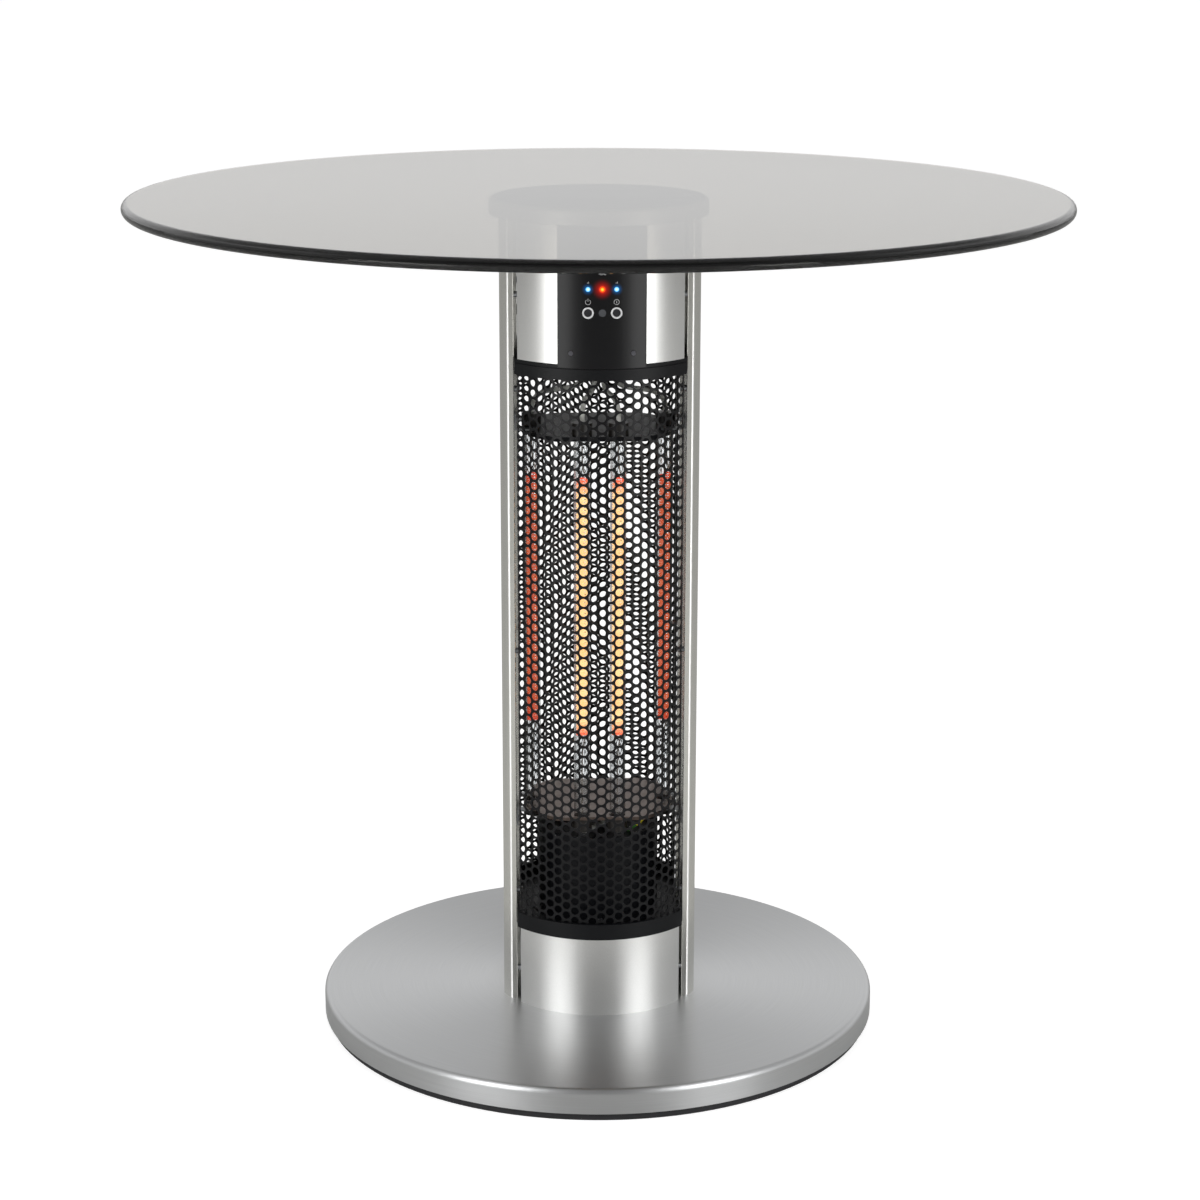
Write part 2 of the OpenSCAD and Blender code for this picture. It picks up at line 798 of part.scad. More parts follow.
module button(x) {
    front = panel_front(x) - 0.3;
    color("#202124") {
        bar_y(x, button_z, front, front + 7.4, button_r);
        bar_y(x, button_z, front + 6.9, front + 8, 4.3);
        bar_y(x, button_z, front + 7.5, switch_front_y - button_travel - 0.1, 1.5);
    }
}

module power_button() {
    button(-button_x);
}

module standby_button() {
    button(button_x);
}

module button_rings() {
    front = panel_front(button_x) - 0.6;
    color("#e4e5e6") for (s = [-1, 1]) difference() {
        bar_y(s * button_x, button_z, front, front + 6.8, bezel_r);
        bar_y(s * button_x, button_z, front - 1, front + 8, bezel_hole_r);
    }
}

module tact_switches() {
    color("#3a3b3f") for (s = [-1, 1]) {
        block([s * button_x - 3.1, board_front_y - 3, button_z - 3.1],
            [s * button_x + 3.1, board_front_y, button_z + 3.1]);
        bar_y(s * button_x, button_z, switch_front_y, board_front_y - 2.5, 1.7);
    }
}

module board_screw_places() {
    for (s = [-1, 1]) for (z = [636, 698]) translate([s * 21, 0, z]) children();
}

module power_screw_places() {
    for (s = [-1, 1]) for (z = [626, 702]) translate([s * 46, 0, z]) children();
}

module control_board() {
    color("#1f5a35") difference() {
        block([-25, board_front_y, 631], [25, board_front_y + board_t, 703]);
        board_screw_places()
            bar_y(0, 0, board_front_y - 1, board_front_y + 3, small_screw_r + 0.1);
    }
}

module board_bracket() {
    wide = shell_flat - shell_t;
    color("#a9abad") difference() {
        union() {
            block([-wide, bracket_front_y, 614], [wide, bracket_front_y + bracket_t, 710]);
            for (s = [-1, 1]) translate([s * (wide - bracket_t / 2), bracket_front_y + 10, 662])
                cube([bracket_t, 20, 96], center = true);
            board_screw_places() bar_y(0, 0, board_front_y + board_t, bracket_front_y + 1, 2.6);
            power_screw_places() bar_y(0, 0, bracket_front_y + 1, power_board_y, 2.6);
        }
        board_screw_places()
            bar_y(0, 0, board_front_y - 1, board_front_y + 14, small_screw_r + 0.05);
        power_screw_places()
            bar_y(0, 0, power_board_y - 7, power_board_y + 3, small_screw_r + 0.05);
        shell_screw_holes(shell_screw_zs[1]);
    }
}

module power_board() {
    color("#1f5a35") difference() {
        block([-50, power_board_y, 621], [50, power_board_y + board_t, 707]);
        power_screw_places()
            bar_y(0, 0, power_board_y - 1, power_board_y + 3, small_screw_r + 0.1);
    }
}

module relays() {
    color("#202226") for (z = [630, 648])
        block([-38, power_board_y + board_t, z], [-9, power_board_y + board_t + 15.7, z + 12.7]);
}

module power_supply() {
    y = power_board_y + board_t;
    color("#d9b83a") {
        block([6, y, 636], [38, y + 27, 664]);
        for (i = [0:2]) bar_y(12 + 13 * i, 682, y, y + 16, 5);
    }
}

// Small pan-head screws inside: tip-over housing, thermal cut-out, boards
module chassis_screws() {
    z0 = lower_shell_top + collar_plate_t + can_t;
    color("#8d8f92") {
        housing_screw_places() translate([0, 0, z0]) small_screw(6);
        cutout_screw_places() translate([0, 0, upper_shell_z + 1]) small_screw(5);
        board_screw_places() translate([0, board_front_y, 0]) rotate([90, 0, 0]) small_screw(10);
        power_screw_places() translate([0, power_board_y + board_t, 0]) rotate([-90, 0, 0])
            small_screw(6);
    }
}

module small_screw(l) {
    cylinder(h = 1.8, r = 2.5);
    translate([0, 0, -l]) cylinder(h = l + 1, r = small_screw_r);
}

// Top: steel plate on the rails, cast cap, clear bond and the glass
module cap_screw_places() {
    for (sx = [-1, 1]) for (sy = [-1, 1]) translate([sx * 38, sy * 46, 0]) children();
}

module top_plate() {
    color("#8b8d90") difference() {
        translate([0, 0, column_top]) cylinder(h = top_plate_t, r = cap_d / 2 - cap_wall - 1);
        rail_screw_places() translate([0, 0, column_top - 1]) cylinder(h = 9, r = rail_screw_r + 0.3);
        cap_screw_places() translate([0, 0, column_top - 1]) cylinder(h = 9, r = 2.3);
    }
}

module top_cap() {
    r = cap_d / 2;
    color("#b9babb") difference() {
        union() {
            difference() {
                rotate_extrude() polygon(concat([[0, cap_z], [r, cap_z]],
                    arc([r - 1.5, cap_top - 1.5], 1.5, 0, 90, 4), [[0, cap_top]]));
                translate([0, 0, cap_z - 1])
                    cylinder(h = cap_h - cap_roof_t + 1, r = r - cap_wall);
            }
            cap_screw_places() translate([0, 0, column_top + top_plate_t])
                cylinder(h = cap_top - column_top - top_plate_t - 2, r = 5);
        }
        cap_screw_places() translate([0, 0, column_top + top_plate_t - 1]) cylinder(h = 8, r = 1.95);
    }
}

module cap_screws() {
    color("#8d8f92") cap_screw_places() {
        translate([0, 0, column_top - 2.2]) cylinder(h = 2.2, r = 3.6);
        translate([0, 0, column_top - 1]) cylinder(h = 11, r = 1.9);
    }
}

module glass_bond() {
    color("#dfe3e6", 0.5) translate([0, 0, cap_top]) cylinder(h = bond_t, r = cap_d / 2 - 3);
}

module glass_top() {
    e = glass_t / 2;
    color("#8a8a88", 0.45) rotate_extrude()
        polygon(concat([[0, glass_z]], arc([glass_d / 2 - e, glass_z + e], e, -90, 90, 12), [[0, table_h]]));
}

base_ring();
base_weight();
base_cover();
rail_left();
rail_right();
rail_screws();
lower_shell();
side_screws();
gland_body();
gland_dome_nut();
gland_lock_nut();
terminal_block();
lower_collar();
switch_housing();
chassis_screws();
tilt_bracket();
tilt_pivot_pin();
tilt_pendulum();
tilt_microswitch();
lower_tube_plate();
upper_tube_plate();
plate_brackets();
tube_front_left();
tube_front_right();
tube_left();
tube_right();
coil_front_left();
coil_front_right();
coil_left();
coil_right();
ceramic_caps();
tube_leads();
earth_wire();
supply_lead();
grille_front();
grille_back();
upper_collar();
thermal_cutout();
upper_shell();
control_panel();
panel_screws();
led_left_lens();
led_heat_lens();
led_right_lens();
indicator_leds();
ir_window();
power_button();
standby_button();
button_rings();
tact_switches();
control_board();
board_bracket();
power_board();
relays();
power_supply();
top_plate();
top_cap();
cap_screws();
glass_bond();
glass_top();
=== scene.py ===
from math import asin, ceil, cos, pi, radians, sin, sqrt

import bmesh
import bpy
from mathutils import Matrix, Vector


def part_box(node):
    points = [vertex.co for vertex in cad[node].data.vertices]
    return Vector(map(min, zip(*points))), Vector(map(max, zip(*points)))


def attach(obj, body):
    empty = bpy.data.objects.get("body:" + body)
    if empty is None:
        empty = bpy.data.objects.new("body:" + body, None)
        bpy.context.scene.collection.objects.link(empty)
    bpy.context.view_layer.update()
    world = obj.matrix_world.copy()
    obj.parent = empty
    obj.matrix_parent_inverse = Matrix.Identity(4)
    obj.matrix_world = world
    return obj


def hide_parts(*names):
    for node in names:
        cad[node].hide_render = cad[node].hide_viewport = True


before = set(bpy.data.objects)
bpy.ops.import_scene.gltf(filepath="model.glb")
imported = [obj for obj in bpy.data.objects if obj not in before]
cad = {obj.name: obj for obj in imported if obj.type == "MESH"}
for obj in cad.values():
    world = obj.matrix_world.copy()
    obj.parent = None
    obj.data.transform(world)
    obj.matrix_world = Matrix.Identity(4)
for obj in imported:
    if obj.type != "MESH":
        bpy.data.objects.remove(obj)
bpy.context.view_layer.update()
MM = 0.001

# Camera. A long studio lens, a little above the table top and tilted down so
# that the glass, the column and the whole foot are in the frame.
CAMERA_PLACE = (7.0, -2381.6, 1015.4)
CAMERA_ROUND = radians(-2.0)
CAMERA_TILT = 0.2596
CAMERA_PAN = 0.0023
CAMERA_ROLL = 0.0016
lens_data = bpy.data.cameras.new("studio_camera")
lens_data.lens = 84.05
lens_data.sensor_width = 36.0
lens_data.clip_end = 100.0
camera = bpy.data.objects.new("studio_camera", lens_data)
bpy.context.scene.collection.objects.link(camera)
camera_turn = Matrix.Rotation(CAMERA_ROUND, 4, "Z")
camera_place = Matrix.Translation([c * MM for c in CAMERA_PLACE])
camera_aim = Matrix.Rotation(CAMERA_PAN, 4, "Z") @ Matrix.Rotation(pi / 2 - CAMERA_TILT, 4, "X")
camera_roll = Matrix.Rotation(CAMERA_ROLL, 4, "Z")
camera.matrix_world = camera_turn @ camera_place @ camera_aim @ camera_roll
bpy.context.scene.camera = camera
bpy.context.scene.view_settings.view_transform = "Standard"


# Studio. White paper floor that is open from below, and two tall softboxes in
# front of the table, flagged off its glass. The room that the metal mirrors is
# pale, darker overhead and behind the camera. The camera itself sees white air.
def linear(hex_colour):
    """An sRGB colour such as #A0A0A0 as linear RGBA."""
    parts = [int(hex_colour[i:i + 2], 16) / 255 for i in (1, 3, 5)]
    return (*[c / 12.92 if c <= 0.04045 else ((c + 0.055) / 1.055) ** 2.4 for c in parts], 1.0)


def node(tree, kind, settings=None, **links):
    """Adds a shader node with its properties. Inputs go by name, or as i0 and i1 by place."""
    made = tree.nodes.new("ShaderNode" + kind)
    for key, value in (settings or {}).items():
        setattr(made, key, value)
    for key, value in links.items():
        socket = made.inputs[int(key[1:])] if key[1:].isdigit() else made.inputs[key.replace("_", " ")]
        if isinstance(value, bpy.types.NodeSocket):
            tree.links.new(value, socket)
        elif isinstance(value, bpy.types.Node):
            tree.links.new(value.outputs[0], socket)
        else:
            socket.default_value = value
    return made


def add_object(name, data):
    """Adds an object to the scene."""
    made = bpy.data.objects.new(name, data)
    bpy.context.scene.collection.objects.link(made)
    return made


air = bpy.data.worlds.new("studio_air")
air.use_nodes = True
bpy.context.scene.world = air
tree = air.node_tree
heading = node(tree, "SeparateXYZ", Vector=node(tree, "TexCoord").outputs["Generated"])
SMOOTH = {"interpolation_type": "SMOOTHSTEP"}
wall_rise = node(tree, "MapRange", SMOOTH, Value=heading.outputs["Z"],
                 From_Min=0.02, From_Max=0.12, To_Min=0.6, To_Max=1.0)
wall_fade = node(tree, "MapRange", SMOOTH, Value=heading.outputs["Z"],
                 From_Min=0.38, From_Max=0.62, To_Min=0.0, To_Max=0.5)
wall_light = node(tree, "Math", {"operation": "SUBTRACT"}, i0=wall_rise, i1=wall_fade)
dark_front = node(tree, "MapRange", SMOOTH, Value=heading.outputs["Y"],
                  From_Min=-0.8, From_Max=-0.1, To_Min=0.3, To_Max=1.0)
room_light = node(tree, "Math", {"operation": "MULTIPLY"}, i0=wall_light, i1=dark_front)
path = node(tree, "LightPath")
seen_air = node(tree, "Math", {"operation": "MAXIMUM"}, i0=room_light, i1=path.outputs["Is Camera Ray"])
tree.links.new(seen_air.outputs[0], tree.nodes["Background"].inputs["Strength"])
tree.nodes["Background"].inputs["Color"].default_value = linear("#FFFFFF")

FLOOR_REACH = 40.0
FLOOR_SIDES = 96
FLOOR_DROP = 0.2 * MM
floor_mesh = bmesh.new()
bmesh.ops.create_circle(floor_mesh, cap_ends=True, segments=FLOOR_SIDES, radius=FLOOR_REACH)
bmesh.ops.translate(floor_mesh, verts=floor_mesh.verts, vec=(0, 0, -FLOOR_DROP))
floor = add_object("paper_floor", bpy.data.meshes.new("paper_floor"))
floor_mesh.to_mesh(floor.data)
floor_mesh.free()
paper = bpy.data.materials.new("matt_white_paper")
paper.use_nodes = True
tree = paper.node_tree
lit_paper = node(tree, "BsdfDiffuse", Color=linear("#C0C0C0"))
paper_glow = node(tree, "Emission", Color=linear("#FFFFFF"), Strength=0.74)
seen_paper = node(tree, "AddShader", i0=lit_paper, i1=paper_glow)
mirrored_paper = node(tree, "BsdfDiffuse", Color=linear("#CCCCCA"))
path = node(tree, "LightPath")
looked_at = node(tree, "Math", {"operation": "MAXIMUM"},
                 i0=path.outputs["Is Camera Ray"], i1=path.outputs["Is Transmission Ray"])
paper_mix = node(tree, "MixShader", Fac=looked_at, i1=mirrored_paper, i2=seen_paper)
from_below = node(tree, "NewGeometry").outputs["Backfacing"]
open_below = node(tree, "MixShader", Fac=from_below, i1=paper_mix, i2=node(tree, "BsdfTransparent"))
tree.links.new(open_below.outputs[0], tree.nodes["Material Output"].inputs["Surface"])
floor.data.materials.append(paper)

SOFTBOX_W = 1.1
SOFTBOX_H = 2.3
SOFTBOX_POWER = 32.0
SOFTBOX_AWAY = 2.1
SOFTBOX_RISE = 1.05
SOFTBOX_ANGLE = radians(44)
LIT_POINT = Vector((0, 0, 0.75))
flagged = bpy.data.collections.new("flagged_from_softboxes")
flagged.objects.link(cad["glass_top"])
for side in (-1, 1):
    softbox_data = bpy.data.lights.new(f"softbox_{side}", "AREA")
    softbox_data.shape = "RECTANGLE"
    softbox_data.size = SOFTBOX_W
    softbox_data.size_y = SOFTBOX_H
    softbox_data.energy = SOFTBOX_POWER
    softbox = add_object(f"softbox_{side}", softbox_data)
    place = Vector((side * SOFTBOX_AWAY * sin(SOFTBOX_ANGLE), -SOFTBOX_AWAY * cos(SOFTBOX_ANGLE),
                    SOFTBOX_RISE))
    softbox.location = place
    softbox.rotation_euler = (LIT_POINT - place).to_track_quat("-Z", "Y").to_euler()
    softbox.visible_camera = False
    softbox.light_linking.receiver_collection = flagged
flagged.collection_objects[0].light_linking.link_state = "EXCLUDE"


# Base weight: a cast iron disc that keeps the table upright. The casting skin
# is dark, dull and slightly lumpy from the sand mould.
def material(name, colour, **sockets):
    """A Principled material. Returns it with its tree and its shader."""
    made = bpy.data.materials.new(name)
    made.use_nodes = True
    tree = made.node_tree
    shader = tree.nodes["Principled BSDF"]
    shader.inputs["Base Color"].default_value = linear(colour)
    for key, value in sockets.items():
        shader.inputs[key.replace("_", " ")].default_value = value
    return made, tree, shader


def dress(surface, *names):
    """Gives CAD nodes their material."""
    for name in names:
        mesh = cad[name].data
        mesh.materials.clear()
        mesh.materials.append(surface)


def place_of(tree):
    """The piece's own coordinates, in metres."""
    return node(tree, "TexCoord").outputs["Object"]


def set_tone(tree, shader, pattern, dark, light):
    """Colours a surface between two tones by a pattern."""
    tone = node(tree, "MixRGB", Fac=pattern, Color1=linear(dark), Color2=linear(light))
    tree.links.new(tone.outputs[0], shader.inputs["Base Color"])


def set_roughness(tree, shader, pattern, low, high):
    """Spreads a surface's roughness between two values by a pattern."""
    spread = node(tree, "MapRange", Value=pattern, To_Min=low, To_Max=high)
    tree.links.new(spread.outputs[0], shader.inputs["Roughness"])


def set_relief(tree, shader, pattern, depth, strength=1.0, **links):
    """Bumps a surface by a pattern, depth in mm. A Normal among the links rounds its edges."""
    relief = node(tree, "Bump", Height=pattern, Strength=strength, Distance=depth * MM, **links)
    tree.links.new(relief.outputs["Normal"], shader.inputs["Normal"])


def grain_of(tree, size, detail=3.0, stretch=(1, 1, 1)):
    """Noise whose grains are size mm across, drawn out along an axis by stretch."""
    drawn = node(tree, "Mapping", Vector=place_of(tree), Scale=[1 / s for s in stretch])
    return node(tree, "TexNoise", Vector=drawn, Scale=1 / (size * MM), Detail=detail).outputs[0]


cast_iron, tree, shader = material("cast_iron_sand_skin", "#2E2E30", Roughness=0.75)
set_relief(tree, shader, grain_of(tree, 4, 5.0), 0.4, 0.5)
dress(cast_iron, "base_weight")

# Foot ring: moulded black rubber under the edge of the base. It is dull, with
# the faint grey bloom that rubber picks up.
foot_rubber, tree, shader = material("moulded_rubber", "#161618", Roughness=0.55)
set_tone(tree, shader, grain_of(tree, 12, 4.0), "#101012", "#1E1E22")
set_relief(tree, shader, grain_of(tree, 0.6), 0.05, 0.2)
dress(foot_rubber, "base_ring")


# Base cover: drawn stainless steel, brushed in circles on a turntable, so its
# highlights run out from the centre. The lines are drawn coarser than the
# real 0.1 mm ones so that they show.
def grain_about_column(tree, shader):
    """Takes the direction of a metal's grain from the column's axis."""
    around = node(tree, "Tangent", {"direction_type": "RADIAL", "axis": "Z"})
    tree.links.new(around.outputs[0], shader.inputs["Tangent"])


stainless, tree, shader = material("circular_brushed_stainless", "#BFC0C1", Metallic=1.0,
                                   Roughness=0.38, Anisotropic=0.7, Anisotropic_Rotation=0.25)
grain_about_column(tree, shader)
BRUSH_STEP = 0.45 * MM
flat_place = node(tree, "VectorMath", {"operation": "MULTIPLY"}, i0=place_of(tree), i1=(1, 1, 0))
radius = node(tree, "VectorMath", {"operation": "LENGTH"}, i0=flat_place).outputs["Value"]
outward = node(tree, "VectorMath", {"operation": "NORMALIZE"}, i0=flat_place)
level = node(tree, "SeparateXYZ", Vector=place_of(tree)).outputs["Z"]
across_lines = node(tree, "Math", {"operation": "ADD"}, i0=radius, i1=level)
line_number = node(tree, "Math", {"operation": "DIVIDE"}, i0=across_lines, i1=BRUSH_STEP)
line_offset = node(tree, "CombineXYZ", Z=line_number)
line_run = node(tree, "VectorMath", {"operation": "SCALE"}, i0=outward, Scale=3.0)
line_place = node(tree, "VectorMath", {"operation": "ADD"}, i0=line_run, i1=line_offset)
brush_lines = node(tree, "TexNoise", Vector=line_place, Scale=1.0, Detail=3.0).outputs[0]
set_tone(tree, shader, brush_lines, "#B4B5B6", "#C8C9CA")
set_roughness(tree, shader, brush_lines, 0.34, 0.44)
set_relief(tree, shader, brush_lines, 0.01, 0.35)
dress(stainless, "base_cover")

# Side rails: aluminium extrusions, satin anodised. The die leaves fine lines
# along their length. The rounded front and back edges are matt, and their colour is paled to near white
# as a painted highlight.
RAIL_EDGE_X = 78.2
RAIL_EDGE_HALF = 0.7
RAIL_EDGE_END = 1.0
RAIL_FRONT_Y = 47.5
rail_finish, tree, shader = material("satin_anodised_extrusion", "#E6E5DF", Metallic=1.0,
                                     Roughness=0.24, Anisotropic=0.6, Anisotropic_Rotation=0.25)
grain_about_column(tree, shader)
die_lines = grain_of(tree, 0.35, 2.0, (1, 1, 400))
rail_tone = node(tree, "MixRGB", Fac=die_lines, Color1=linear("#DCDBD5"), Color2=linear("#ECEBE6"))
spot = node(tree, "SeparateXYZ", Vector=place_of(tree))
out_x = node(tree, "Math", {"operation": "ABSOLUTE"}, i0=spot.outputs["X"])
from_edge = node(tree, "Math", {"operation": "SUBTRACT"}, i0=out_x, i1=RAIL_EDGE_X * MM)
edge_gap = node(tree, "Math", {"operation": "ABSOLUTE"}, i0=from_edge)
near_edge = node(tree, "MapRange", Value=edge_gap, From_Min=RAIL_EDGE_HALF * MM,
                 From_Max=RAIL_EDGE_END * MM, To_Min=1.0, To_Max=0.0)
out_y = node(tree, "Math", {"operation": "ABSOLUTE"}, i0=spot.outputs["Y"])
at_front = node(tree, "Math", {"operation": "GREATER_THAN"}, i0=out_y, i1=RAIL_FRONT_Y * MM)
# painted highlight: a near-white band in the colour along the rails' front and back edges, which are
# also made matt
painted_highlight_edge = node(tree, "Math", {"operation": "MULTIPLY"}, i0=near_edge, i1=at_front)
rail_tone_and_painted_highlight = node(tree, "MixRGB", Fac=painted_highlight_edge, Color1=rail_tone, Color2=linear("#FCFCFA"))
tree.links.new(rail_tone_and_painted_highlight.outputs[0], shader.inputs["Base Color"])
set_roughness(tree, shader, painted_highlight_edge, 0.24, 0.55)
set_relief(tree, shader, die_lines, 0.008, 0.3)
dress(rail_finish, "rail_left", "rail_right")

# Screws: zinc-plated steel. They hold the rails to the base and the top plate,
# and most other parts to the rails.
zinc_plate, tree, shader = material("zinc_plated_steel", "#B4B7BC", Metallic=1.0, Roughness=0.35)
set_tone(tree, shader, grain_of(tree, 1.5), "#A2A5AA", "#C0C2C6")
set_roughness(tree, shader, grain_of(tree, 0.8), 0.28, 0.45)
dress(zinc_plate, "rail_screws", "side_screws", "chassis_screws", "cap_screws", "tilt_pivot_pin")

# Shells: rolled aluminium sheet with flat sides, anodised to an even satin.
# Light from each side lays a soft bright band on the curve.
shell_finish, tree, shader = material("satin_anodised_sheet", "#DCDCDA", Metallic=1.0,
                                      Roughness=0.38, Anisotropic=0.4, Anisotropic_Rotation=0.25)
grain_about_column(tree, shader)
satin_grain = grain_of(tree, 0.5, 2.0, (1, 1, 3))
set_tone(tree, shader, satin_grain, "#D4D4D2", "#E2E2E0")
set_roughness(tree, shader, satin_grain, 0.35, 0.42)
set_relief(tree, shader, satin_grain, 0.01, 0.25)
dress(shell_finish, "lower_shell", "upper_shell")

# Cable gland: black nylon, moulded with a fine spark texture so that the hex
# faces look dull and grip a spanner.
gland_nylon, tree, shader = material("spark_textured_nylon", "#1B1B1D", Roughness=0.5)
set_tone(tree, shader, grain_of(tree, 3), "#171719", "#212124")
set_relief(tree, shader, grain_of(tree, 0.25, 2.0), 0.03, 0.4)
dress(gland_nylon, "gland_body", "gland_dome_nut", "gland_lock_nut")

# Terminal block: natural nylon, milky and slightly yellow, with moulded wells
# for the clamping screws.
natural_nylon, tree, shader = material("natural_nylon", "#D8D3C4", Roughness=0.42,
                                       Subsurface_Weight=0.15, Subsurface_Scale=1.5 * MM)
set_tone(tree, shader, grain_of(tree, 6), "#D0CABA", "#DEDACD")
set_relief(tree, shader, grain_of(tree, 0.4, 2.0), 0.02, 0.2)
dress(natural_nylon, "terminal_block")


# Supply lead: a rubber-sheathed lead from the terminal block, up inside the
# left rail, to the power board. The sheath is matt and slightly uneven.
def wire_along(name, routes, radius, surface, slot, *nodes, steps=8, sides=3):
    """Round wire along smooth routes, in mm, in place of the CAD nodes that are named."""
    path = bpy.data.curves.new(f"{name}_path", "CURVE")
    path.dimensions = "3D"
    path.bevel_depth = radius * MM
    path.bevel_resolution = sides
    path.use_fill_caps = True
    path.resolution_u = steps
    for route in routes:
        spline = path.splines.new("NURBS")
        spline.points.add(len(route) - 1)
        for point, place in zip(spline.points, route):
            point.co = (*[c * MM for c in place], 1.0)
        spline.order_u = 4
        spline.use_endpoint_u = True
    drawn = bpy.data.objects.new(f"{name}_path", path)
    made = add_object(name, bpy.data.meshes.new_from_object(drawn))
    bpy.data.objects.remove(drawn)
    bpy.data.curves.remove(path)
    made.data.materials.append(surface)
    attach(made, "frame")
    if nodes:
        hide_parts(*nodes)


rubber_sheath, tree, shader = material("rubber_cable_sheath", "#1C1C1E", Roughness=0.6)
set_tone(tree, shader, grain_of(tree, 5), "#161618", "#232326")
set_relief(tree, shader, grain_of(tree, 0.8, 2.0), 0.05, 0.3)
board_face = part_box("power_board")[1][1] / MM
SUPPLY_R = 3.0
SUPPLY_ROUTE = [(-22.1, 31, 36), (-32, 31, 36), (-44, 27, 42), (-53, 15, 52), (-59, 5, 62),
                (-64, 1, 70), (-70, 0, 76), (-76, 0, 82), (-79.5, 0, 91), (-79.5, 0, 200),
                (-79.5, 0, 400), (-79.5, 0, 625), (-76, 0, 634), (-70, 0, 641), (-64, -1, 648),
                (-56, -6, 658), (-48, -16, 668), (-45, -26, 672), (-45, board_face + 0.1, 672)]
wire_along("supply_lead_sheath", [SUPPLY_ROUTE], SUPPLY_R, rubber_sheath, "black_rubber", "supply_lead")

# Collars: black glass-filled nylon mouldings that close the heater chamber at
# each end. Their lips are satin with softened edges.
collar_nylon, tree, shader = material("satin_black_moulding", "#08090B", Roughness=0.45,
                                      Specular_IOR_Level=0.2)
set_tone(tree, shader, grain_of(tree, 8), "#07080A", "#0B0C0F")
soft_edge = node(tree, "Bevel", {"samples": 4}, Radius=0.5 * MM)
set_relief(tree, shader, grain_of(tree, 0.3, 2.0), 0.03, 0.15, Normal=soft_edge)
dress(collar_nylon, "lower_collar", "upper_collar")

# Switch housing and upper tube plate: pressed steel under black heat-proof
# enamel, a little glossier where it has been warm.
black_enamel, tree, shader = material("heat_proof_enamel", "#0A0B0E", Roughness=0.42,
                                      Specular_IOR_Level=0.22)
set_tone(tree, shader, grain_of(tree, 20), "#08090C", "#0D0E13")
set_roughness(tree, shader, grain_of(tree, 6), 0.36, 0.5)
set_relief(tree, shader, grain_of(tree, 1.2, 2.0), 0.02, 0.3)
dress(black_enamel, "switch_housing", "upper_tube_plate")

# Tip-over switch: a turned steel pendulum on a pin in a bent zinc-plated
# bracket, under a microswitch in a moulded case.
zinc_sheet, tree, shader = material("zinc_plated_sheet", "#AEB1B5", Metallic=1.0, Roughness=0.38)
set_tone(tree, shader, grain_of(tree, 3, 4.0), "#9DA0A4", "#BCBFC2")
set_roughness(tree, shader, grain_of(tree, 2), 0.32, 0.46)
dress(zinc_sheet, "tilt_bracket", "plate_brackets", "board_bracket", "top_plate")
turned_steel, tree, shader = material("turned_steel", "#9A9CA0", Metallic=1.0, Roughness=0.28)
tool_lines = grain_of(tree, 0.3, 1.0, (60, 60, 1))
set_tone(tree, shader, tool_lines, "#8E9094", "#A8AAAE")
set_relief(tree, shader, tool_lines, 0.02, 0.4)
dress(turned_steel, "tilt_pendulum")
black_case, tree, shader = material("moulded_component_case", "#1D1E21", Roughness=0.48)
set_tone(tree, shader, grain_of(tree, 4), "#18191C", "#242529")
set_relief(tree, shader, grain_of(tree, 0.2, 2.0), 0.02, 0.3)
dress(black_case, "tilt_microswitch", "tact_switches", "relays")

# Lower tube plate: rolled steel that throws the glow upwards. Heat has turned
# it brown in clouds, so it is darker than the fresh sheet.
tinted_sheet, tree, shader = material("heat_tinted_rolled_steel", "#75675F", Metallic=1.0,
                                      Roughness=0.32)
set_tone(tree, shader, grain_of(tree, 9, 4.0), "#5A4A42", "#8E817A")
set_relief(tree, shader, grain_of(tree, 0.4, 2.0, (60, 1, 1)), 0.01, 0.3)
dress(tinted_sheet, "lower_tube_plate")


# Quartz tubes: clear fused silica, open at both ends. They bend what is behind
# them and carry faint draw lines.
def glass(name, colour, shade, **sockets):
    """Clear material that lets the lamps' light through, tinted by shade."""
    made, tree, shader = material(name, colour, Transmission_Weight=1.0, **sockets)
    through = node(tree, "BsdfTransparent", Color=linear(shade))
    lamp_ray = node(tree, "LightPath").outputs["Is Shadow Ray"]
    mixed = node(tree, "MixShader", Fac=lamp_ray, i1=shader, i2=through)
    tree.links.new(mixed.outputs[0], tree.nodes["Material Output"].inputs["Surface"])
    return made, tree, shader


quartz, tree, shader = glass("clear_fused_quartz", "#F2F4F5", "#F0F0F0", IOR=1.46)
set_roughness(tree, shader, grain_of(tree, 0.8, 2.0, (1, 1, 40)), 0.02, 0.07)
TUBES = ("front_left", "front_right", "left", "right")
dress(quartz, *[f"tube_{name}" for name in TUBES])

